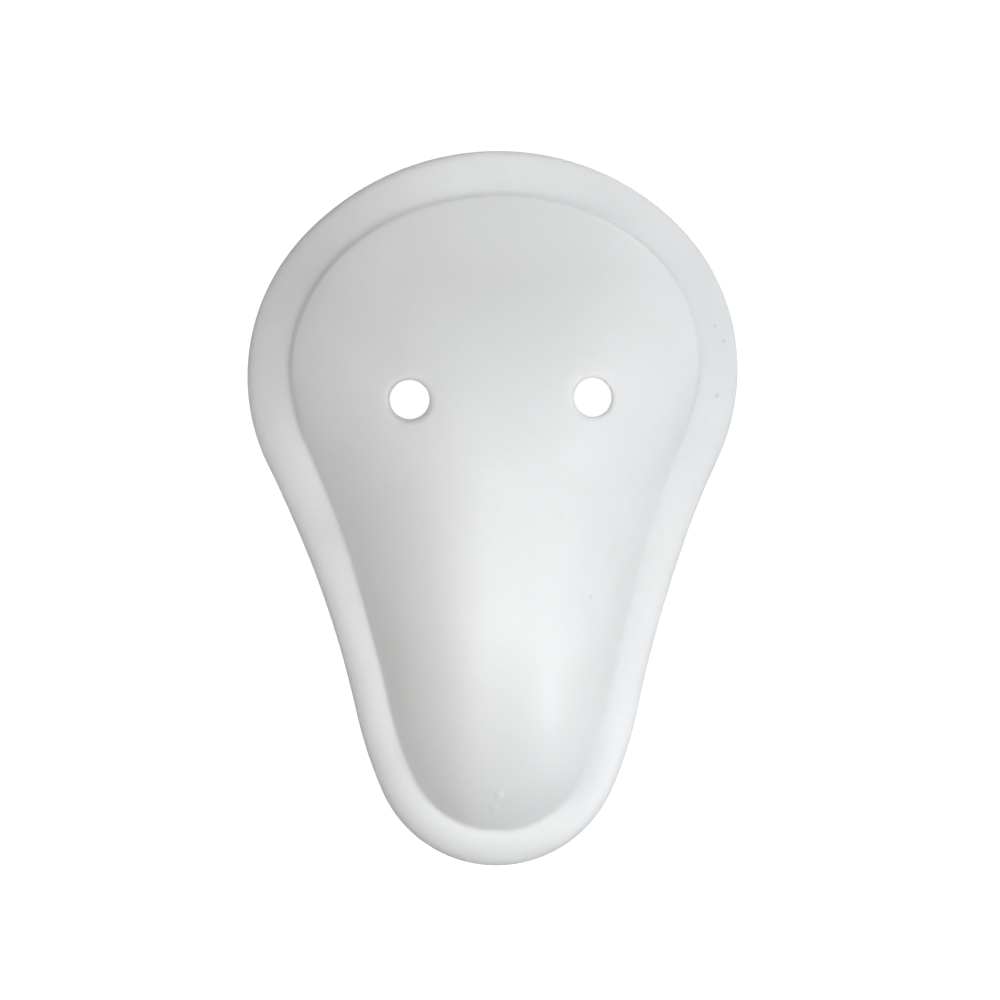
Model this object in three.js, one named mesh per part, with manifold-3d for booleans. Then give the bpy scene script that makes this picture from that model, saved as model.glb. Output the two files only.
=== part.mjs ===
// Groin guard: one moulded plastic shell, dome up, resting on its rim
// Millimetres, +Z up, +Y toward the wide belly edge
import * as THREE from 'three';
import { mergeVertices } from 'three/addons/utils/BufferGeometryUtils.js';
import Module from 'manifold-3d';

// Outline of the rim in plan, as five tangent arcs a side
const length = 165;
const width = 113.5;
const crownRadius = 60.4;
const shoulderRadius = 47.15;
const flankRadius = 260;
const calfRadius = 96;
const toeRadius = 29;
const toeHandover = THREE.MathUtils.degToRad(-23.8);

// Wall, and fineness of the mesh
const wall = 2.8;
const arcSteps = { crown: 11, shoulder: 12, flank: 12, calf: 4, toe: 9 };
const rimSteps = 6;
const domeSteps = 16;
const slopeProbe = 0.05;
const footProbe = 0.985;
const mergeDistance = 1e-4;

// Rim by station up the length: lift of the lip off the table, width of the band from lip to crease,
// slant of the band, rise of its rolled edge and the edge's squareness, then the small step up from
// the crease to the dome and that step's run in plan
const rimStations = [
  { y: -82.5, lift: 0, band: 8.3, slant: 0, rise: 6, squareness: 2, step: 0.2, stepRun: 1 },
  { y: -76, lift: 0, band: 8.1, slant: 0, rise: 6, squareness: 2, step: 0.2, stepRun: 1 },
  { y: -52, lift: 4.2, band: 7.55, slant: 0, rise: 6, squareness: 2, step: 0.2, stepRun: 1 },
  { y: -29, lift: 5.6, band: 7.7, slant: 0, rise: 6, squareness: 2.1, step: 0.2, stepRun: 1 },
  { y: -12, lift: 3.4, band: 8.7, slant: 0, rise: 5.8, squareness: 2.2, step: 0.3, stepRun: 1 },
  { y: 2, lift: 0, band: 9.4, slant: 1, rise: 5.3, squareness: 2.3, step: 0.6, stepRun: 1.1 },
  { y: 12, lift: 0, band: 9.7, slant: 2.4, rise: 4.8, squareness: 2.7, step: 1, stepRun: 1.1 },
  { y: 24, lift: 1.3, band: 9.5, slant: 4.6, rise: 4.2, squareness: 4, step: 1.4, stepRun: 1.2 },
  { y: 36, lift: 4.3, band: 8.75, slant: 6.2, rise: 3.8, squareness: 7, step: 1.6, stepRun: 1.2 },
  { y: 48, lift: 8, band: 8.55, slant: 6.6, rise: 3.7, squareness: 10, step: 1.6, stepRun: 1.1 },
  { y: 60, lift: 12.4, band: 8.5, slant: 5.4, rise: 3.7, squareness: 11, step: 1.3, stepRun: 0.9 },
  { y: 72, lift: 17.8, band: 8.9, slant: 2.8, rise: 3.7, squareness: 12, step: 1, stepRun: 0.7 },
  { y: 82.5, lift: 22.4, band: 10, slant: 0, rise: 3.7, squareness: 12, step: 0.8, stepRun: 0.7 },
];

// Dome from its peak up to the belly end: height of the spine over the table, then flatness of
// the arch across it and fullness of that arch's sides
const domeStations = [
  { y: -24, spine: 46.5, flatness: 2.7, fullness: 0.92 },
  { y: -10, spine: 46.4, flatness: 2.7, fullness: 0.92 },
  { y: 8, spine: 45.7, flatness: 2.6, fullness: 0.9 },
  { y: 24, spine: 43.4, flatness: 2.5, fullness: 0.86 },
  { y: 40, spine: 38.8, flatness: 2.3, fullness: 0.82 },
  { y: 56, spine: 32.2, flatness: 2.2, fullness: 0.82 },
];
const crownArch = { flatness: 2.0, fullness: 0.82 };
const toeFullness = 0.88;
const peakY = domeStations[0].y;

// Vent holes through the upper dome, and the two moulding nubs by the toe
const vent = { x: 21.1, y: 25.4, radius: 4.5, flare: 1.5, flareDepth: 1.5, sides: 32 };
const ventCut = { boreLength: 40, lead: 3 };
const nubs = [
  { x: -0.56, y: -66.25, radius: 1.4, proud: 0.5 },
  { x: -1.46, y: -69.5, radius: 1.5, proud: 0.4 },
];
const nubFacets = { around: 12, down: 8 };

// Smooth curve through a table's column, level at its turning points
function curve(rows, column) {
  const ys = rows.map((row) => row.y);
  const vs = rows.map((row) => row[column]);
  const gaps = ys.slice(1).map((y, i) => y - ys[i]);
  const slopes = gaps.map((gap, i) => (vs[i + 1] - vs[i]) / gap);
  const tangents = vs.map((v, i) => {
    if (i === 0) return slopes[0];
    if (i === vs.length - 1) return slopes[i - 1];
    if (slopes[i - 1] * slopes[i] <= 0) return 0;
    const before = 2 * gaps[i] + gaps[i - 1];
    const after = gaps[i] + 2 * gaps[i - 1];
    return (before + after) / (before / slopes[i - 1] + after / slopes[i]);
  });
  return (y) => {
    const at = THREE.MathUtils.clamp(y, ys[0], ys.at(-1));
    let i = 0;
    while (i < gaps.length - 1 && at > ys[i + 1]) i += 1;
    const t = (at - ys[i]) / gaps[i];
    const back = 1 - t;
    return vs[i] * back * back * (1 + 2 * t) + vs[i + 1] * t * t * (3 - 2 * t)
      + gaps[i] * (tangents[i] * t * back * back - tangents[i + 1] * t * t * back);
  };
}

const rimColumns = Object.keys(rimStations[0]).filter((column) => column !== 'y');
const rimCurves = rimColumns.map((column) => [column, curve(rimStations, column)]);

// Right half of the outline from the belly edge round to the toe
function halfOutline() {
  const crown = new THREE.Vector2(0, length / 2 - crownRadius);
  const offset = width / 2 - shoulderRadius;
  const shoulderRise = Math.sqrt((crownRadius - shoulderRadius) ** 2 - offset ** 2);
  const shoulder = new THREE.Vector2(offset, crown.y + shoulderRise);
  const toe = new THREE.Vector2(0, toeRadius - length / 2);
  const towardCalf = new THREE.Vector2(Math.cos(toeHandover), Math.sin(toeHandover));
  const calf = toe.clone().addScaledVector(towardCalf, toeRadius - calfRadius);

  // The hollow flank touches the shoulder and calf arcs from outside
  const reach = calf.clone().sub(shoulder);
  const apart = reach.length();
  const toShoulder = shoulderRadius + flankRadius;
  const toCalf = calfRadius + flankRadius;
  const along = (toShoulder ** 2 - toCalf ** 2 + apart ** 2) / (2 * apart);
  const across = Math.sqrt(toShoulder ** 2 - along ** 2);
  reach.normalize();
  const flank = shoulder.clone()
    .addScaledVector(reach, along)
    .addScaledVector(new THREE.Vector2(-reach.y, reach.x), across);

  const crownEnd = Math.atan2(shoulderRise, offset);
  const shoulderEnd = Math.atan2(flank.y - shoulder.y, flank.x - shoulder.x);
  const calfStart = Math.atan2(flank.y - calf.y, flank.x - calf.x);
  const flankFrom = shoulderEnd + Math.PI;
  const flankTo = calfStart + Math.PI;
  const arcs = [
    { name: 'crown', centre: crown, radius: crownRadius, from: Math.PI / 2, to: crownEnd, bulge: 1 },
    { name: 'shoulder', centre: shoulder, radius: shoulderRadius, from: crownEnd, to: shoulderEnd, bulge: 1 },
    { name: 'flank', centre: flank, radius: flankRadius, from: flankFrom, to: flankTo, bulge: -1 },
    { name: 'calf', centre: calf, radius: calfRadius, from: calfStart, to: toeHandover, bulge: 1 },
    { name: 'toe', centre: toe, radius: toeRadius, from: toeHandover, to: -Math.PI / 2, bulge: 1 },
  ];
  const points = [];
  for (const arc of arcs) {
    const steps = arcSteps[arc.name];
    for (let i = 0; i < steps; i += 1) {
      const angle = arc.from + ((arc.to - arc.from) * i) / steps;
      const out = new THREE.Vector2(Math.cos(angle), Math.sin(angle));
      const edge = arc.centre.clone().addScaledVector(out, arc.radius);
      points.push({ edge, out: out.multiplyScalar(arc.bulge) });
    }
  }
  points.push({ edge: new THREE.Vector2(0, -length / 2), out: new THREE.Vector2(0, -1) });
  return points;
}

// Whole outline, clockwise from the belly edge, each point with its rim's sizes and its crease
const half = halfOutline();
const mirrored = half.slice(1, -1).reverse().map(({ edge, out }) => ({
  edge: new THREE.Vector2(-edge.x, edge.y),
  out: new THREE.Vector2(-out.x, out.y),
}));
const apex = new THREE.Vector2(0, peakY);
const outline = [...half, ...mirrored].map(({ edge, out }) => {
  const at = Object.fromEntries(rimCurves.map(([column, along]) => [column, along(edge.y)]));
  const crease = edge.clone().addScaledVector(out, -at.band);
  const creaseHeight = at.lift + at.slant + at.rise;
  const footHeight = creaseHeight + at.step;
  const stepShare = 1 - at.stepRun / crease.clone().sub(apex).dot(out);
  return { ...at, out, crease, creaseHeight, footHeight, stepShare };
});
const rightSide = outline.slice(0, half.length);
const top = rightSide[0];
const toeEnd = rightSide.at(-1);

// Half-width of the crease and height of the dome's foot at a place up the length
function footAt(y) {
  let i = 0;
  while (i < rightSide.length - 2 && rightSide[i + 1].crease.y > y) i += 1;
  const a = rightSide[i];
  const b = rightSide[i + 1];
  const t = THREE.MathUtils.clamp((a.crease.y - y) / (a.crease.y - b.crease.y), 0, 1);
  return {
    halfWidth: Math.sqrt(THREE.MathUtils.lerp(a.crease.x ** 2, b.crease.x ** 2, t)),
    height: THREE.MathUtils.lerp(a.footHeight, b.footHeight, t),
  };
}

const archStations = [...domeStations, { y: top.crease.y, spine: top.footHeight, ...crownArch }];
const spine = curve(archStations, 'spine');
const flatness = curve(archStations, 'flatness');
const fullness = curve(archStations, 'fullness');

// Height of the dome: an arch across the spine that stands on the foot
// Below the peak the spine bows down to the toe
function domeHeight(x, y) {
  const foot = footAt(y);
  const run = THREE.MathUtils.clamp((peakY - y) / (peakY - toeEnd.crease.y), 0, 1);
  const fall = domeStations[0].spine - toeEnd.footHeight;
  const bowed = toeEnd.footHeight + fall * (1 - run * run) ** toeFullness;
  const crest = Math.max((y < peakY ? bowed : spine(y)) - foot.height, 0);
  const across = foot.halfWidth > 0 ? Math.min(Math.abs(x) / foot.halfWidth, 1) : 0;
  return foot.height + crest * (1 - across ** flatness(y)) ** fullness(y);
}

// Outward direction of the dome at a point, from the heights around it
function domeNormal(x, y) {
  const run = 2 * slopeProbe;
  const slopeX = (domeHeight(x + slopeProbe, y) - domeHeight(x - slopeProbe, y)) / run;
  const slopeY = (domeHeight(x, y + slopeProbe) - domeHeight(x, y - slopeProbe)) / run;
  return new THREE.Vector3(-slopeX, -slopeY, 1).normalize();
}

// Band from the lip in to the crease, with its rolled edge: the outside, or the inside of the wall
function rimRing(step, inset) {
  const angle = (Math.PI / 2) * (step / rimSteps);
  return outline.map((at) => {
    const power = 2 / at.squareness;
    const reach = step < rimSteps ? (at.band - inset) * Math.cos(angle) ** power : 0;
    const height = (at.rise - inset) * Math.sin(angle) ** power;
    const place = at.crease.clone().addScaledVector(at.out, reach);
    return new THREE.Vector3(place.x, place.y, at.lift + at.slant * (1 - reach / at.band) + height);
  });
}

// Ring of the dome: the crease, then the top of its step, then on to the peak
// The inside is set in by the wall
function domeRing(step, inset) {
  const onward = Math.cos((Math.PI / 2) * ((step - 1) / (domeSteps - 1)));
  return outline.map((at) => {
    const share = step === 0 ? 1 : at.stepShare * onward;
    const place = apex.clone().lerp(at.crease, share);
    const height = step === 0 ? at.creaseHeight : domeHeight(place.x, place.y);
    const point = new THREE.Vector3(place.x, place.y, height);
    if (inset === 0) return point;
    const probe = apex.clone().lerp(at.crease, Math.min(share, footProbe));
    return point.addScaledVector(domeNormal(probe.x, probe.y), -inset);
  });
}

// Closed shell from its inside rings, its outside rings and the two ends under and over the peak
function shellGeometry() {
  const outside = [];
  const inside = [];
  for (let i = 0; i <= rimSteps; i += 1) outside.push(rimRing(i, 0));
  for (let i = 1; i < domeSteps; i += 1) outside.push(domeRing(i, 0));
  for (let i = 0; i <= rimSteps; i += 1) inside.push(rimRing(i, wall));
  for (let i = 0; i < domeSteps; i += 1) inside.push(domeRing(i, wall));
  const rings = [...inside.reverse(), ...outside];
  const count = outline.length;
  const positions = rings.flat().flatMap((p) => [p.x, p.y, p.z]);
  const faces = [];
  for (let r = 0; r < rings.length - 1; r += 1) {
    for (let i = 0; i < count; i += 1) {
      const a = r * count + i;
      const b = r * count + ((i + 1) % count);
      const c = a + count;
      const d = b + count;
      faces.push(a, d, b, a, c, d);
    }
  }
  const peak = new THREE.Vector3(apex.x, apex.y, domeHeight(apex.x, apex.y));
  const under = peak.clone().addScaledVector(domeNormal(apex.x, apex.y), -wall);
  const underIndex = positions.length / 3;
  const peakIndex = underIndex + 1;
  positions.push(under.x, under.y, under.z, peak.x, peak.y, peak.z);
  const last = (rings.length - 1) * count;
  for (let i = 0; i < count; i += 1) {
    const j = (i + 1) % count;
    faces.push(underIndex, i, j);
    faces.push(peakIndex, last + j, last + i);
  }
  const geometry = new THREE.BufferGeometry();
  geometry.setAttribute('position', new THREE.Float32BufferAttribute(positions, 3));
  geometry.setIndex(faces);
  return geometry;
}

const wasm = await Module();
wasm.setup();

function toSolid(geometry) {
  const bare = geometry.clone();
  bare.deleteAttribute('normal');
  bare.deleteAttribute('uv');
  const merged = mergeVertices(bare, mergeDistance);
  const mesh = new wasm.Mesh({
    numProp: 3,
    vertProperties: new Float32Array(merged.attributes.position.array),
    triVerts: new Uint32Array(merged.index.array),
  });
  return new wasm.Manifold(mesh);
}

function toGeometry(solid) {
  const mesh = solid.getMesh();
  const geometry = new THREE.BufferGeometry();
  geometry.setAttribute('position', new THREE.Float32BufferAttribute(mesh.vertProperties, 3));
  geometry.setIndex([...mesh.triVerts]);
  geometry.computeVertexNormals();
  return geometry;
}

// Straight bore in the mould's draw direction, with a flared mouth square to the surface
function ventCutter(side) {
  const x = side * vent.x;
  const z = domeHeight(x, vent.y);
  const bore = new THREE.CylinderGeometry(vent.radius, vent.radius, ventCut.boreLength, vent.sides);
  bore.rotateX(Math.PI / 2);
  bore.translate(x, vent.y, z);
  const mouthDepth = vent.flareDepth + ventCut.lead;
  const mouthRadius = vent.radius + (vent.flare / vent.flareDepth) * mouthDepth;
  const mouth = new THREE.CylinderGeometry(mouthRadius, vent.radius, mouthDepth, vent.sides);
  mouth.translate(0, (ventCut.lead - vent.flareDepth) / 2, 0);
  const turn = new THREE.Quaternion().setFromUnitVectors(new THREE.Vector3(0, 1, 0), domeNormal(x, vent.y));
  mouth.applyQuaternion(turn);
  mouth.translate(x, vent.y, z);
  return toSolid(bore).add(toSolid(mouth));
}

// Round nub, sunk into the dome until it stands proud by its height
function nubSolid(nub) {
  const bead = new THREE.SphereGeometry(nub.radius, nubFacets.around, nubFacets.down);
  const sunk = domeNormal(nub.x, nub.y).multiplyScalar(nub.proud - nub.radius);
  bead.translate(nub.x + sunk.x, nub.y + sunk.y, domeHeight(nub.x, nub.y) + sunk.z);
  return toSolid(bead);
}

let shell = toSolid(shellGeometry());
for (const side of [-1, 1]) shell = shell.subtract(ventCutter(side));
for (const nub of nubs) shell = shell.add(nubSolid(nub));

const plastic = new THREE.MeshStandardMaterial({ color: 0xf2f2f1, roughness: 0.45, metalness: 0 });
const guardShell = new THREE.Mesh(toGeometry(shell), plastic);
guardShell.name = 'guard_shell';

const part = new THREE.Group();
part.name = 'groin_guard';
part.add(guardShell);

export default part;
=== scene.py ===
# Groin guard: one white moulded shell, lying dome up on a pale table, seen from above
import math

import bpy
import numpy as np
from mathutils import Matrix, Vector


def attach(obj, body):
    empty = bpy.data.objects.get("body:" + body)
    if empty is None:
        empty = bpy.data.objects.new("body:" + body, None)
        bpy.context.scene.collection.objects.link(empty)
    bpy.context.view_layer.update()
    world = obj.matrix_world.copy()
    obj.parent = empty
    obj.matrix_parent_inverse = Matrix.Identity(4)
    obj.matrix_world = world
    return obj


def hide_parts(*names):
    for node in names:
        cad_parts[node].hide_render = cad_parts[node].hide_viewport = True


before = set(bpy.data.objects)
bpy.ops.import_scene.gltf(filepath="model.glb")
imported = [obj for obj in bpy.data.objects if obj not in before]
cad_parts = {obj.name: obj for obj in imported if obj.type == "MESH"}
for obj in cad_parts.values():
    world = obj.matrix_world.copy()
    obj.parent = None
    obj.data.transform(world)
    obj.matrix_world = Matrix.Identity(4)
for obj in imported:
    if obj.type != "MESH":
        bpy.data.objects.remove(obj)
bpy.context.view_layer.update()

mm = 0.001      # the guard's sizes are in millimetres, as the CAD's are; stage and lights are in metres
tiny = 1e-9     # keeps divisions and roots clear of zero

shell = {
    "length": 165.0,
    "width": 113.5,
    "crownRadius": 60.4,      # arcs of the outline, from the belly edge round to the toe
    "shoulderRadius": 47.15,
    "flankRadius": 260.0,     # hollow
    "calfRadius": 96.0,
    "toeRadius": 29.0,
    "toeHandover": -23.8,     # degrees, where the toe's arc takes over from the calf's
    "wall": 2.8,
    "lipRound": 0.4,          # rounding of the lip's bottom edges
    "peakY": -24.0,
    "around": 420,
    "rimRings": 22,
    "domeRings": 76,
    "lipSteps": 4,
    "creaseSteps": 5,         # on the inside, where the wall bends round the crease
    "fineRim": 160,           # points a curve is worked out with before its rings are spaced
    "fineDome": 1200,
    "fineBunching": 2.2,      # gathers the dome's fine points toward the crease
    "bend": 6.0,              # mm of length that a radian of turning counts for when rings are spaced
    "footProbe": 0.985,       # share of the way out at which the foot's direction is taken
    "slopeProbe": 0.05,       # half the run over which a slope is taken
    "creasePasses": 3,        # more passes give a softer crease
    "creaseEase": 0.5,        # share of the way that a pass moves the crease itself
    "creaseReach": 1.5,       # rings that the softening takes in
    "rubReach": 3.5,          # how far in from the lip its edge is rubbed
    # rim by station up the length: height of the lip, width of the band and its slant,
    # then the rise and squareness of its rolled edge
    "rim": {
        "y": [-82.5, -76, -52, -29, -12, 2, 12, 24, 36, 48, 60, 72, 82.5],
        "lift": [0, 0, 4.2, 5.6, 3.4, 0, 0, 1.3, 4.3, 8.0, 12.4, 17.8, 22.4],
        "band": [8.3, 8.1, 7.55, 7.7, 8.7, 9.4, 9.7, 9.5, 8.75, 8.55, 8.5, 8.9, 10.0],
        "slant": [0, 0, 0, 0, 0, 1.0, 2.4, 4.6, 6.2, 6.6, 5.4, 2.8, 0],
        "rise": [6.0, 6.0, 6.0, 6.0, 5.8, 5.3, 4.8, 4.2, 3.8, 3.7, 3.7, 3.7, 3.7],
        "squareness": [2.0, 2.0, 2.0, 2.1, 2.2, 2.3, 2.7, 4.0, 7.0, 10.0, 11.0, 12.0, 12.0],
        # small step up from the crease to the dome, and its width in plan
        "step": [0.2, 0.2, 0.2, 0.2, 0.3, 0.6, 1.0, 1.4, 1.6, 1.6, 1.3, 1.0, 0.8],
        "stepRun": [1.0, 1.0, 1.0, 1.0, 1.0, 1.1, 1.1, 1.2, 1.2, 1.1, 0.9, 0.7, 0.7],
    },
    # dome by station, from the peak up to the belly end
    "dome": {
        "y": [-24, -10, 8, 24, 40, 56],
        "spine": [46.5, 46.4, 45.7, 43.4, 38.8, 32.2],
        "flatness": [2.7, 2.7, 2.6, 2.5, 2.3, 2.2],
        "fullness": [0.92, 0.92, 0.90, 0.86, 0.82, 0.82],
        "crownFlatness": 2.0,
        "crownFullness": 0.82,
        "toeFullness": 0.88,
    },
}

vents = {
    "x": 21.1,
    "y": 25.4,
    "radius": 4.5,
    "edgeRound": 1.6,         # rolled edge on the outside
    "innerRound": 0.5,
    "blockAround": 22,        # grid cells that its surround takes, along the outline and across it
    "blockAcross": 11,
    "edgeRings": 6,
    "flatRings": 14,
}

nubs = {
    "x": [-0.56, -1.46],
    "y": [-66.25, -69.5],
    "radius": [1.35, 1.50],
    "height": [0.75, 0.55],
    "edgePower": 1.5,         # higher runs out softer into the dome
    "blockAround": 6,
    "blockAcross": 8,
    "rings": 34,
}


# Monotone cubic through one column of a table: harmonic-mean slopes, level at turning points
def smoothColumn(table, column, at):
    y, v = np.array(table["y"], float), np.array(table[column], float)
    gap = np.diff(y)
    slope = np.diff(v) / gap
    before, after = 2 * gap[1:] + gap[:-1], gap[1:] + 2 * gap[:-1]
    turning = slope[:-1] * slope[1:] <= 0
    lower = np.where(turning, 1, slope[:-1])
    upper = np.where(turning, 1, slope[1:])
    inner = np.where(turning, 0, (before + after) / (before / lower + after / upper))
    tangent = np.concatenate([slope[:1], inner, slope[-1:]])
    at = np.clip(at, y[0], y[-1])
    i = np.clip(np.searchsorted(y, at, side="right") - 1, 0, len(gap) - 1)
    t = (at - y[i]) / gap[i]
    back = 1 - t
    ends = v[i] * back**2 * (1 + 2 * t) + v[i + 1] * t**2 * (3 - 2 * t)
    return ends + gap[i] * (tangent[i] * t * back**2 - tangent[i + 1] * t**2 * back)


# Five tangent arcs a side, sampled evenly by length and mirrored
# Gives the lip's edge and its outward direction
def outlineLoop(s):
    crown = np.array([0, s["length"] / 2 - s["crownRadius"]])
    offset = s["width"] / 2 - s["shoulderRadius"]
    rise = math.sqrt((s["crownRadius"] - s["shoulderRadius"]) ** 2 - offset**2)
    shoulder = crown + [offset, rise]
    handover = math.radians(s["toeHandover"])
    toe = np.array([0, s["toeRadius"] - s["length"] / 2])
    calf = toe + (s["toeRadius"] - s["calfRadius"]) * np.array([math.cos(handover), math.sin(handover)])
    # the hollow flank touches the shoulder and the calf from outside
    reach = calf - shoulder
    apart = np.hypot(*reach)
    reach = reach / apart
    toShoulder = s["shoulderRadius"] + s["flankRadius"]
    toCalf = s["calfRadius"] + s["flankRadius"]
    along = (toShoulder**2 - toCalf**2 + apart**2) / (2 * apart)
    across = math.sqrt(toShoulder**2 - along**2)
    flank = shoulder + along * reach + across * np.array([-reach[1], reach[0]])
    crownEnd = math.atan2(rise, offset)
    shoulderEnd = math.atan2(*(flank - shoulder)[::-1])
    calfStart = math.atan2(*(flank - calf)[::-1])
    # columns: centre x, centre y, radius, start and end angle, 1 for a bulge and -1 for a hollow
    arcs = np.array([
        [*crown, s["crownRadius"], math.pi / 2, crownEnd, 1],
        [*shoulder, s["shoulderRadius"], crownEnd, shoulderEnd, 1],
        [*flank, s["flankRadius"], shoulderEnd + math.pi, calfStart + math.pi, -1],
        [*calf, s["calfRadius"], calfStart, handover, 1],
        [*toe, s["toeRadius"], handover, -math.pi / 2, 1],
    ])
    span = arcs[:, 2] * np.abs(arcs[:, 4] - arcs[:, 3])
    ends = np.concatenate([[0], np.cumsum(span)])
    length = np.linspace(0, ends[-1], s["around"] // 2 + 1)
    k = np.clip(np.searchsorted(ends, length, side="right") - 1, 0, len(arcs) - 1)
    angle = arcs[k, 3] + (arcs[k, 4] - arcs[k, 3]) * (length - ends[k]) / span[k]
    direction = np.stack([np.cos(angle), np.sin(angle)], 1)
    edge = arcs[k, :2] + arcs[k, 2:3] * direction
    outward = direction * arcs[k, 5:6]
    flip = np.array([-1, 1])
    return np.vstack([edge, edge[-2:0:-1] * flip]), np.vstack([outward, outward[-2:0:-1] * flip])


edge, outward = outlineLoop(shell)
peakXy = np.array([0, shell["peakY"]])
lift, band, slant, rise, squareness, step, stepRun = (
    smoothColumn(shell["rim"], column, edge[:, 1])
    for column in ("lift", "band", "slant", "rise", "squareness", "step", "stepRun")
)
creaseXy = edge - outward * band[:, None]
creaseZ = lift + slant + rise
halfCount = shell["around"] // 2 + 1
creaseY = creaseXy[:halfCount, 1][::-1]
creaseSquare = creaseXy[:halfCount, 0][::-1] ** 2
footHeight = (creaseZ + step)[:halfCount][::-1]
topY, toeY = creaseY[-1], creaseY[0]
spineTable = {
    "y": shell["dome"]["y"] + [topY],
    "spine": shell["dome"]["spine"] + [footHeight[-1]],
    "flatness": shell["dome"]["flatness"] + [shell["dome"]["crownFlatness"]],
    "fullness": shell["dome"]["fullness"] + [shell["dome"]["crownFullness"]],
}


# Height of the dome: crest above the step's top times (1 - (x / half width)^flatness)^fullness,
# the crest being the spine's table above the peak, and below it (1 - (way to the toe)^2)^toeFullness
def domeHeight(x, y):
    halfWidth = np.sqrt(np.maximum(np.interp(y, creaseY, creaseSquare), tiny))
    base = np.interp(y, creaseY, footHeight)
    run = np.clip((shell["peakY"] - y) / (shell["peakY"] - toeY), 0, 1)
    foot = footHeight[0]
    toeward = foot + (shell["dome"]["spine"][0] - foot) * (1 - run**2) ** shell["dome"]["toeFullness"]
    crest = np.where(y < shell["peakY"], toeward, smoothColumn(spineTable, "spine", y)) - base
    across = np.clip(np.abs(x) / halfWidth, 0, 1) ** smoothColumn(spineTable, "flatness", y)
    return base + np.maximum(crest, 0) * (1 - across) ** smoothColumn(spineTable, "fullness", y)


# Outward direction of the dome, from the slopes of its height
def domeNormal(x, y):
    d = shell["slopeProbe"]
    slopeX = (domeHeight(x + d, y) - domeHeight(x - d, y)) / (2 * d)
    slopeY = (domeHeight(x, y + d) - domeHeight(x, y - d)) / (2 * d)
    normal = np.stack([-slopeX, -slopeY, np.ones_like(slopeX)], -1)
    return normal / np.linalg.norm(normal, axis=-1, keepdims=True)


# Rows of points spaced anew, evenly by their length plus what they turn, so that bends get more points
def respace(rows, count):
    leg = np.diff(rows, axis=1)
    span = np.linalg.norm(leg, axis=2)
    way = leg / np.maximum(span, tiny)[..., None]
    turned = np.arccos(np.clip((way[:, 1:] * way[:, :-1]).sum(2), -1, 1))
    weight = span.copy()
    weight[:, 1:] += shell["bend"] / 2 * turned
    weight[:, :-1] += shell["bend"] / 2 * turned
    measure = np.concatenate([np.zeros((len(rows), 1)), np.cumsum(weight, 1)], 1)
    own = 2 * np.arange(len(rows))[:, None]      # each row gets its own stretch of the number line
    measure = measure / measure[:, -1:] + own
    wanted = np.linspace(0, 1, count + 1)[None, :] + own
    return np.stack([np.interp(wanted, measure.ravel(), rows[..., k].ravel()) for k in range(3)], -1)


# Places a rim's points: reach is the way out from the crease, and the slant falls evenly across the band
def onRim(reach, height):
    xy = creaseXy[:, None] + outward[:, None] * reach[..., None]
    return np.dstack([xy, lift[:, None] + slant[:, None] * (1 - reach / band[:, None]) + height])


# Rolled band: a superellipse quarter from the lip (reach = band) up to the crease (reach = 0)
def rimRows(inset):
    angle = np.linspace(0, math.pi / 2, shell["fineRim"])
    c, s = np.cos(angle)[None], np.sin(angle)[None]
    power = squareness[:, None]
    onCurve = (c**power + s**power) ** (-1 / power)
    reach = (band - inset)[:, None] * c * onCurve
    reach[:, -1] = 0
    bottom = shell["lipRound"]
    return onRim(reach, bottom + np.maximum(rise - inset - bottom, 0)[:, None] * s * onCurve)


# Quarter round between the lip's bottom face and its side: centre one rounding in from both
def lipRows(inset, side):
    r = shell["lipRound"]
    angle = np.linspace(0, math.pi / 2, shell["lipSteps"] + 1)
    reach = (band - inset)[:, None] - side * r * (1 - np.sin(angle))
    return onRim(reach, np.broadcast_to(r * (1 - np.cos(angle)), reach.shape))


# Rays of the dome from the crease to the peak; near the crease the step is a quarter sine of the way in
def domeRows():
    share = 1 - np.linspace(0, 1, shell["fineDome"]) ** shell["fineBunching"]
    ray = creaseXy - peakXy
    xy = peakXy + ray[:, None] * share[None, :, None]
    wayIn = (1 - share)[None, :] * (ray * outward).sum(1)[:, None]
    climbed = np.sin(np.clip(wayIn / stepRun[:, None], 0, 1) * math.pi / 2)
    z = domeHeight(xy[..., 0], xy[..., 1]) - step[:, None] * (1 - climbed)
    z[:, 0] = creaseZ
    return np.dstack([xy, z])


outRim = respace(rimRows(0), shell["rimRings"])
outDome = respace(domeRows(), shell["domeRings"])
inRim = respace(rimRows(shell["wall"]), shell["rimRings"])

# inside of the dome: the outside moved in by the wall, square to the surface
fromPeak = outDome[..., :2] - peakXy
limit = shell["footProbe"] * np.linalg.norm(creaseXy - peakXy, axis=1)[:, None]
ratio = np.minimum(1, limit / np.maximum(np.linalg.norm(fromPeak, axis=2), tiny))
probe = peakXy + fromPeak * ratio[..., None]
normals = domeNormal(probe[..., 0], probe[..., 1])
inDome = outDome - shell["wall"] * normals

# inside of the crease: an arc round it, from straight below to square on the dome's foot
bent = np.linspace(0, 1, shell["creaseSteps"] + 1)[None, 1:-1, None]
up = np.array([0, 0, 1.0])
fan = (1 - bent) * up + bent * normals[:, :1]
fan = fan / np.linalg.norm(fan, axis=2, keepdims=True)
inCrease = outDome[:, :1] - shell["wall"] * fan
print("shell worked out:", shell["around"], "stations")


# Height of the dome's inside: lower than the outside by the wall, measured straight down
def innerHeight(x, y):
    return domeHeight(x, y) - shell["wall"] / domeNormal(x, y)[..., 2]


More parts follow.
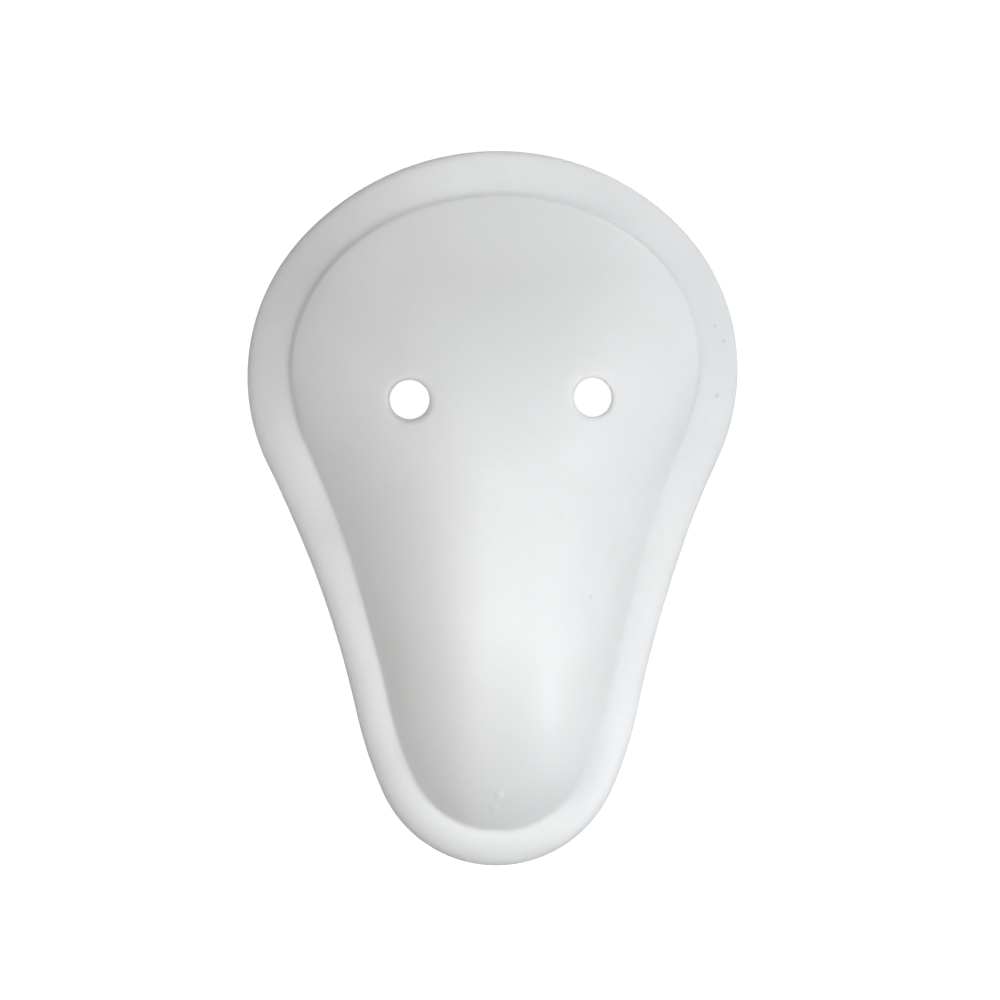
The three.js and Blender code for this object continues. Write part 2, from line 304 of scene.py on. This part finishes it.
# Radii of a vent's surround on each ray, and how far each ring lies off the surface
# First a quarter round, out by rounding (1 - cos a) and off the surface by rounding (1 - sin a),
# then evenly out to the loop
def ventRings(far, rounding, roll):
    angle = np.linspace(0, math.pi / 2, vents["edgeRings"] + 1)
    rolled = np.broadcast_to(vents["radius"] + rounding * (1 - np.cos(angle)), (len(far), len(angle)))
    spread = np.linspace(0, 1, vents["flatRings"] + 1)[1:-1]
    radius = np.concatenate([rolled, rolled[:, -1:] + spread * (far[:, None] - rolled[:, -1:])], 1)
    off = np.concatenate([roll * rounding * (1 - np.sin(angle)), np.zeros(len(spread))])
    return radius, off


# Patch of straight rays in plan from a centre to a loop of grid points, laid on the given height;
# what the loop lies off that height fades in with the square of the way out
def rayPatch(loop, centre, height, radius, off):
    away = loop[:, :2] - centre
    far = np.linalg.norm(away, axis=1)[:, None]
    xy = centre + (away / far)[:, None] * radius[..., None]
    ease = ((radius - radius[:, :1]) / (far - radius[:, :1])) ** 2
    gap = (loop[:, 2] - height(loop[:, 0], loop[:, 1]))[:, None]
    return np.dstack([xy, height(xy[..., 0], xy[..., 1]) + off + ease * gap])


# Dome with its nubs: each adds height (1 - (distance / radius)^2)^edgePower
def nubbedHeight(x, y):
    z = domeHeight(x, y)
    for nubX, nubY, radius, height in zip(nubs["x"], nubs["y"], nubs["radius"], nubs["height"]):
        distance = np.hypot(x - nubX, y - nubY) / radius
        z = z + height * np.maximum(1 - distance**2, 0) ** nubs["edgePower"]
    return z


# one grid from the peak's inside, down round the lip and up to the peak's outside
rings = [
    inDome[:, ::-1][:, 1:],
    inCrease[:, ::-1],
    inRim[:, ::-1],
    lipRows(shell["wall"], -1)[:, ::-1][:, 1:],
    lipRows(0, 1)[:, :-1],
    outRim,
    outDome[:, 1:-1],
]
grid = np.concatenate(rings, 1)
starts = np.concatenate([[0], np.cumsum([part.shape[1] for part in rings])])
rimStart, domeStart = starts[5], starts[6]      # of the outside

# the crease is a small valley, not a knife line
# each ring eases toward its neighbours by exp(-(rings away from the crease / reach)^2)
ringIndex = np.arange(1, grid.shape[1] - 1)
away = (ringIndex - (domeStart - 1)) / shell["creaseReach"]
softness = np.exp(-away**2)[None, :, None]
for _ in range(shell["creasePasses"]):
    middle = 0.5 * (grid[:, :-2] + grid[:, 2:])
    grid[:, 1:-1] += shell["creaseEase"] * softness * (middle - grid[:, 1:-1])

# rubbing falls off from the lip's outer edge as exp(-(length along the row / reach)^2)
leg = np.linalg.norm(np.diff(grid, axis=1), axis=2)
fromStart = np.concatenate([np.zeros((len(grid), 1)), np.cumsum(leg, 1)], 1)
fromLip = fromStart - fromStart[:, rimStart:rimStart + 1]
gridRubbing = np.exp(-(fromLip / shell["rubReach"]) ** 2)

around, across = grid.shape[:2]
index = np.arange(around * across).reshape(around, across)
here, ahead = index, np.roll(index, -1, 0)
quads = np.stack([here[:, :-1], here[:, 1:], ahead[:, 1:], ahead[:, :-1]], -1)
keep = np.ones(quads.shape[:2], bool)
flatGrid = grid.reshape(-1, 3)
points = [flatGrid]
patchFaces = []


# Cuts a rectangle of cells out of the grid, and gives its border of grid points, walked once round
def cutBlock(i0, j0, blockI, blockJ, way):
    spanI, spanJ = np.arange(-blockI, blockI), np.arange(-blockJ, blockJ)
    walkI = np.concatenate([spanI, np.full(2 * blockJ, blockI), -spanI, np.full(2 * blockJ, -blockI)])
    walkJ = np.concatenate([np.full(2 * blockI, -blockJ), spanJ, np.full(2 * blockI, blockJ), -spanJ])
    keep[np.ix_((i0 + spanI) % around, j0 + spanJ)] = False
    return index[(i0 + walkI) % around, j0 + way * walkJ]


# Joins a patch's rings to each other and the last one to the loop, and gives their point numbers
def addPatch(patch, loop, way):
    first = sum(len(part) for part in points)
    number = first + np.arange(patch.shape[0] * patch.shape[1]).reshape(patch.shape[:2])
    points.append(patch.reshape(-1, 3))
    number = np.concatenate([number, loop[:, None]], 1)
    forward = np.roll(number, -1, 0)
    quad = np.stack([number[:, :-1], forward[:, :-1], forward[:, 1:], number[:, 1:]], -1).reshape(-1, 4)
    patchFaces.append(quad if way > 0 else quad[:, ::-1])
    return number


# Grid column and dome ring nearest to a place in plan
def nearestCell(centre):
    apart = np.linalg.norm(outDome[..., :2] - centre, axis=2)
    return np.unravel_index(np.argmin(apart), apart.shape)


# each vent: a patch outside, a patch inside and the bore between their first rings
for side in (-1, 1):
    centre = np.array([side * vents["x"], vents["y"]])
    i0, j0 = nearestCell(centre)
    outJ, inJ = domeStart + j0 - 1, inDome.shape[1] - 1 - j0
    rims = []
    for j, way, height, rounding in (
        (outJ, 1, domeHeight, vents["edgeRound"]),
        (inJ, -1, innerHeight, vents["innerRound"]),
    ):
        loop = cutBlock(i0, j, vents["blockAround"], vents["blockAcross"], way)
        far = np.linalg.norm(flatGrid[loop, :2] - centre, axis=1)
        radius, off = ventRings(far, rounding, -way)
        patch = rayPatch(flatGrid[loop], centre, height, radius, off)
        rims.append(addPatch(patch, loop, way)[:, 0])
    outer, inner = rims
    patchFaces.append(np.stack([outer, inner, np.roll(inner, -1), np.roll(outer, -1)], -1))

# both nubs share one patch, closed in its middle by a fan
centre = np.array([np.mean(nubs["x"]), np.mean(nubs["y"])])
i0, j0 = nearestCell(centre)
loop = cutBlock(i0, domeStart + j0 - 1, nubs["blockAround"], nubs["blockAcross"], 1)
far = np.linalg.norm(flatGrid[loop, :2] - centre, axis=1)[:, None]
radius = far * np.linspace(0, 1, nubs["rings"] + 1)[None, 1:-1]
number = addPatch(rayPatch(flatGrid[loop], centre, nubbedHeight, radius, 0), loop, 1)
nubMiddle = sum(len(part) for part in points)
points.append(np.array([[*centre, nubbedHeight(*centre)]]))

peakZ = domeHeight(*peakXy)
under = np.array([[*peakXy, peakZ - shell["wall"]]])
peak = np.array([[*peakXy, peakZ]])
underIndex = sum(len(part) for part in points)
peakIndex = underIndex + 1
points = np.vstack(points + [under, peak]) * mm
rubbing = np.zeros(len(points))
rubbing[:around * across] = gridRubbing.ravel()
fans = [
    np.stack([np.full(around, underIndex), here[:, 0], ahead[:, 0]], -1),
    np.stack([np.full(around, peakIndex), ahead[:, -1], here[:, -1]], -1),
    np.stack([np.full(len(loop), nubMiddle), np.roll(number[:, 0], -1), number[:, 0]], -1),
]
quadList = np.vstack([quads[keep]] + patchFaces)
used = np.unique(np.concatenate([quadList.ravel()] + [f.ravel() for f in fans]))
renumber = np.zeros(len(points), int)
renumber[used] = np.arange(len(used))
faces = renumber[quadList].tolist() + [face for f in fans for face in renumber[f].tolist()]
mesh = bpy.data.meshes.new("guardShell")
mesh.from_pydata(points[used].tolist(), [], faces)
mesh.validate()
mesh.polygons.foreach_set("use_smooth", np.ones(len(mesh.polygons), bool))
wear = mesh.attributes.new("wear", "FLOAT", "POINT")
wear.data.foreach_set("value", rubbing[used].astype(np.float32))
mesh.update()
guardShell = bpy.data.objects.new("guardShell", mesh)
bpy.context.scene.collection.objects.link(guardShell)
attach(guardShell, "root")
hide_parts("guard_shell")
print("shell meshed:", len(mesh.vertices), "points,", len(mesh.polygons), "faces")


plastic = {
    "colour": (0.87, 0.87, 0.865, 1),
    "clouds": {"size": 34.0, "colour": (0.835, 0.83, 0.82, 1), "low": 0.42, "high": 0.75},
    "mottle": {"size": 1.6, "colour": (0.80, 0.795, 0.785, 1), "low": 0.55, "high": 0.85, "share": 0.35},
    "scuffs": {
        "size": 2.4, "stretch": (1, 0.22, 1), "detail": 6.0, "colour": (0.66, 0.65, 0.63, 1),
        "low": 0.56, "high": 0.70, "share": 0.45, "roughness": 0.16,
    },
    "dirt": {"colour": (0.50, 0.49, 0.47, 1), "share": 0.42, "fade": 0.15},
    "gloss": {"size": 9.0, "low": 0.3, "high": 0.7, "smooth": 0.40, "rough": 0.52},
    "grain": {"size": 0.42, "depth": 0.010},       # matte texture of the mould
    "ripple": {"size": 17.0, "depth": 0.035},      # faint unevenness from cooling
    "milkiness": 0.85,        # share of the light that spreads inside the wall
    "scatter": (1.0, 0.95, 0.9),
    "scatterReach": 5.0,
    "specks": {
        "x": [50.9, 53.4, 51.6, 20.1],
        "y": [41.4, 38.6, 25.2, -20.4],
        "radius": [0.7, 0.8, 0.9, 0.6],
    },
}


def moulded(settings):
    material = bpy.data.materials.new("whiteMouldedPlastic")
    material.use_nodes = True
    nodes, links = material.node_tree.nodes, material.node_tree.links
    shader = nodes["Principled BSDF"]
    place = nodes.new("ShaderNodeTexCoord").outputs["Object"]

    def noise(size, stretch=None, detail=3.0):
        texture = nodes.new("ShaderNodeTexNoise")
        texture.inputs["Scale"].default_value = 1 / (size * mm)
        texture.inputs["Detail"].default_value = detail
        source = place
        if stretch:
            mapping = nodes.new("ShaderNodeMapping")
            mapping.inputs["Scale"].default_value = stretch
            links.new(place, mapping.inputs["Vector"])
            source = mapping.outputs["Vector"]
        links.new(source, texture.inputs["Vector"])
        return texture.outputs[0]

    def spread(value, low, high, start, end):
        span = nodes.new("ShaderNodeMapRange")
        links.new(value, span.inputs["Value"])
        for socket, number in (("From Min", low), ("From Max", high), ("To Min", start), ("To Max", end)):
            span.inputs[socket].default_value = number
        return span.outputs["Result"]

    def share(layer, value):
        return spread(value, layer["low"], layer["high"], 0, layer.get("share", 1))

    def sums(operation, first, second):
        node = nodes.new("ShaderNodeMath")
        node.operation = operation
        for socket, value in zip(node.inputs, (first, second)):
            if isinstance(value, (int, float)):
                socket.default_value = value
            else:
                links.new(value, socket)
        return node.outputs[0]

    def tint(under, amount, colour):
        mix = nodes.new("ShaderNodeMix")
        mix.data_type = "RGBA"
        links.new(amount, mix.inputs[0])
        below, above = mix.inputs[6], mix.inputs[7]      # by number: other kinds share the names A and B
        if isinstance(under, tuple):
            below.default_value = under
        else:
            links.new(under, below)
        above.default_value = colour
        return mix.outputs[2]

    # colour: pale clouds in the resin, a fine mottle, then grey where the edges are rubbed
    clouds, mottle, scuffs = settings["clouds"], settings["mottle"], settings["scuffs"]
    colour = tint(settings["colour"], share(clouds, noise(clouds["size"])), clouds["colour"])
    colour = tint(colour, share(mottle, noise(mottle["size"])), mottle["colour"])
    wear = nodes.new("ShaderNodeAttribute")
    wear.attribute_name = "wear"
    scuffed = share(scuffs, noise(scuffs["size"], scuffs["stretch"], scuffs["detail"]))
    rubbed = sums("MULTIPLY", scuffed, wear.outputs["Fac"])
    colour = tint(colour, rubbed, scuffs["colour"])
    # specks of dirt, each a soft spot round a point of the surface
    for point, radius in settings["speckPoints"]:
        apart = nodes.new("ShaderNodeVectorMath")
        apart.operation = "DISTANCE"
        links.new(place, apart.inputs[0])
        apart.inputs[1].default_value = [c * mm for c in point]
        dirt = settings["dirt"]
        spot = spread(apart.outputs["Value"], radius * dirt["fade"] * mm, radius * mm, dirt["share"], 0)
        colour = tint(colour, spot, dirt["colour"])
    links.new(colour, shader.inputs["Base Color"])

    gloss = settings["gloss"]
    roughness = spread(noise(gloss["size"]), gloss["low"], gloss["high"], gloss["smooth"], gloss["rough"])
    roughness = sums("ADD", roughness, sums("MULTIPLY", rubbed, scuffs["roughness"]))
    links.new(roughness, shader.inputs["Roughness"])

    # bump: the cooling ripple first, then the grain over it
    normal = None
    for layer in (settings["ripple"], settings["grain"]):
        bump = nodes.new("ShaderNodeBump")
        bump.inputs["Distance"].default_value = layer["depth"] * mm
        links.new(noise(layer["size"]), bump.inputs["Height"])
        if normal:
            links.new(normal, bump.inputs["Normal"])
        normal = bump.outputs["Normal"]
    links.new(normal, shader.inputs["Normal"])

    shader.inputs["Subsurface Weight"].default_value = settings["milkiness"]
    shader.inputs["Subsurface Radius"].default_value = settings["scatter"]
    shader.inputs["Subsurface Scale"].default_value = settings["scatterReach"] * mm
    return material


# each speck sits on the outside point nearest to it in plan
outside = np.concatenate([outRim, outDome], 1).reshape(-1, 3)
specks = plastic["specks"]
plastic["speckPoints"] = [
    (outside[np.argmin(np.hypot(outside[:, 0] - x, outside[:, 1] - y))].tolist(), radius)
    for x, y, radius in zip(specks["x"], specks["y"], specks["radius"])
]
whitePlastic = moulded(plastic)
mesh.materials.append(whitePlastic)
print("plastic made")


# a pale sheet lit from within, as on a light table
table = {
    "size": 4.0,
    "colour": (0.3, 0.3, 0.3, 1),
    "roughness": 0.9,
    "glow": 0.95,
    "glowColour": (1, 1, 1, 1),
}
half = table["size"] / 2
tableMesh = bpy.data.meshes.new("tableTop")
corners = [(-half, -half, 0), (half, -half, 0), (half, half, 0), (-half, half, 0)]
tableMesh.from_pydata(corners, [], [(0, 1, 2, 3)])
tableTop = bpy.data.objects.new("tableTop", tableMesh)
bpy.context.scene.collection.objects.link(tableTop)
paper = bpy.data.materials.new("palePaper")
paper.use_nodes = True
paperShader = paper.node_tree.nodes["Principled BSDF"]
paperShader.inputs["Base Color"].default_value = table["colour"]
paperShader.inputs["Roughness"].default_value = table["roughness"]
paperShader.inputs["Emission Color"].default_value = table["glowColour"]
paperShader.inputs["Emission Strength"].default_value = table["glow"]
tableMesh.materials.append(paper)
tableTop.visible_diffuse = False      # a cut-out backdrop: it shows white but throws no light back up


camera = {
    "distance": 6.0,          # metres
    "lean": 3.3,              # degrees the camera stands to the left of straight above
    "turn": 0.72,             # degrees the guard is turned in the picture
    "pixelsPerMm": 4.321,
    "aim": (1.57, 2.04, 0.0), # point of the table in the middle of the picture, mm
    "sensor": 36,             # mm
    "clipEnd": 20,            # metres
}


def placeCamera(c):
    lens = bpy.data.cameras.new("camera")
    lens.sensor_width = c["sensor"]
    lens.lens = c["pixelsPerMm"] * c["sensor"] * c["distance"]      # for a picture 1000 pixels wide
    lens.clip_end = c["clipEnd"]
    eye = bpy.data.objects.new("camera", lens)
    lean, turn = math.radians(c["lean"]), math.radians(c["turn"])
    back = Vector((-math.sin(lean), 0, math.cos(lean)))
    upward = Vector((math.sin(turn), math.cos(turn), 0))
    right = upward.cross(back).normalized()
    upward = back.cross(right)
    turned = Matrix((right, upward, back)).transposed().to_4x4()
    eye.matrix_world = Matrix.Translation(Vector(c["aim"]) * mm + back * c["distance"]) @ turned
    bpy.context.scene.collection.objects.link(eye)
    bpy.context.scene.camera = eye


placeCamera(camera)


# discs of soft light, all turned to the guard
lights = {
    "overhead": {"place": (0, 0, 1.0), "size": 0.6, "watts": 3.95, "colour": (0.97, 0.985, 1)},
    "overheadNear": {"place": (0, 0, 0.4), "size": 0.25, "watts": 0.035, "colour": (0.97, 0.985, 1)},
    "rightBehind": {"place": (0.68, 0.68, 0.26), "size": 0.6, "watts": 4.15, "colour": (0.98, 0.99, 1)},
    "right": {"place": (0.82, 0, 0.57), "size": 0.6, "watts": 1.45, "colour": (0.95, 0.975, 1)},
    "left": {"place": (-0.82, 0, 0.57), "size": 0.6, "watts": 2.0, "colour": (1, 0.975, 0.945)},
    "toeRight": {"place": (0.27, -0.27, 0.10), "size": 0.25, "watts": 0.575, "colour": (0.96, 0.98, 1)},
    "toeLeft": {"place": (-0.10, -0.10, 0.20), "size": 0.15, "watts": 0.112, "colour": (1, 0.99, 0.98)},
    "toe": {"place": (0.03, -0.10, 0.20), "size": 0.15, "watts": 0.035, "colour": (0.98, 0.99, 1)},
}
lightAim = Vector((0, 0, 0.02))
ambient = 0.01


def softLight(name, place, size, watts, colour):
    data = bpy.data.lights.new(name, "AREA")
    data.shape = "DISK"
    data.size = size
    data.energy = watts
    data.color = colour
    lamp = bpy.data.objects.new(name, data)
    lamp.location = place
    lamp.rotation_euler = (lightAim - Vector(place)).to_track_quat("-Z", "Y").to_euler()
    bpy.context.scene.collection.objects.link(lamp)


for name, settings in lights.items():
    softLight(name, **settings)
world = bpy.data.worlds.new("studio")
world.use_nodes = True
world.node_tree.nodes["Background"].inputs["Color"].default_value = (1, 1, 1, 1)
world.node_tree.nodes["Background"].inputs["Strength"].default_value = ambient
bpy.context.scene.world = world
bpy.context.scene.view_settings.view_transform = "Standard"
print("camera and lights placed")
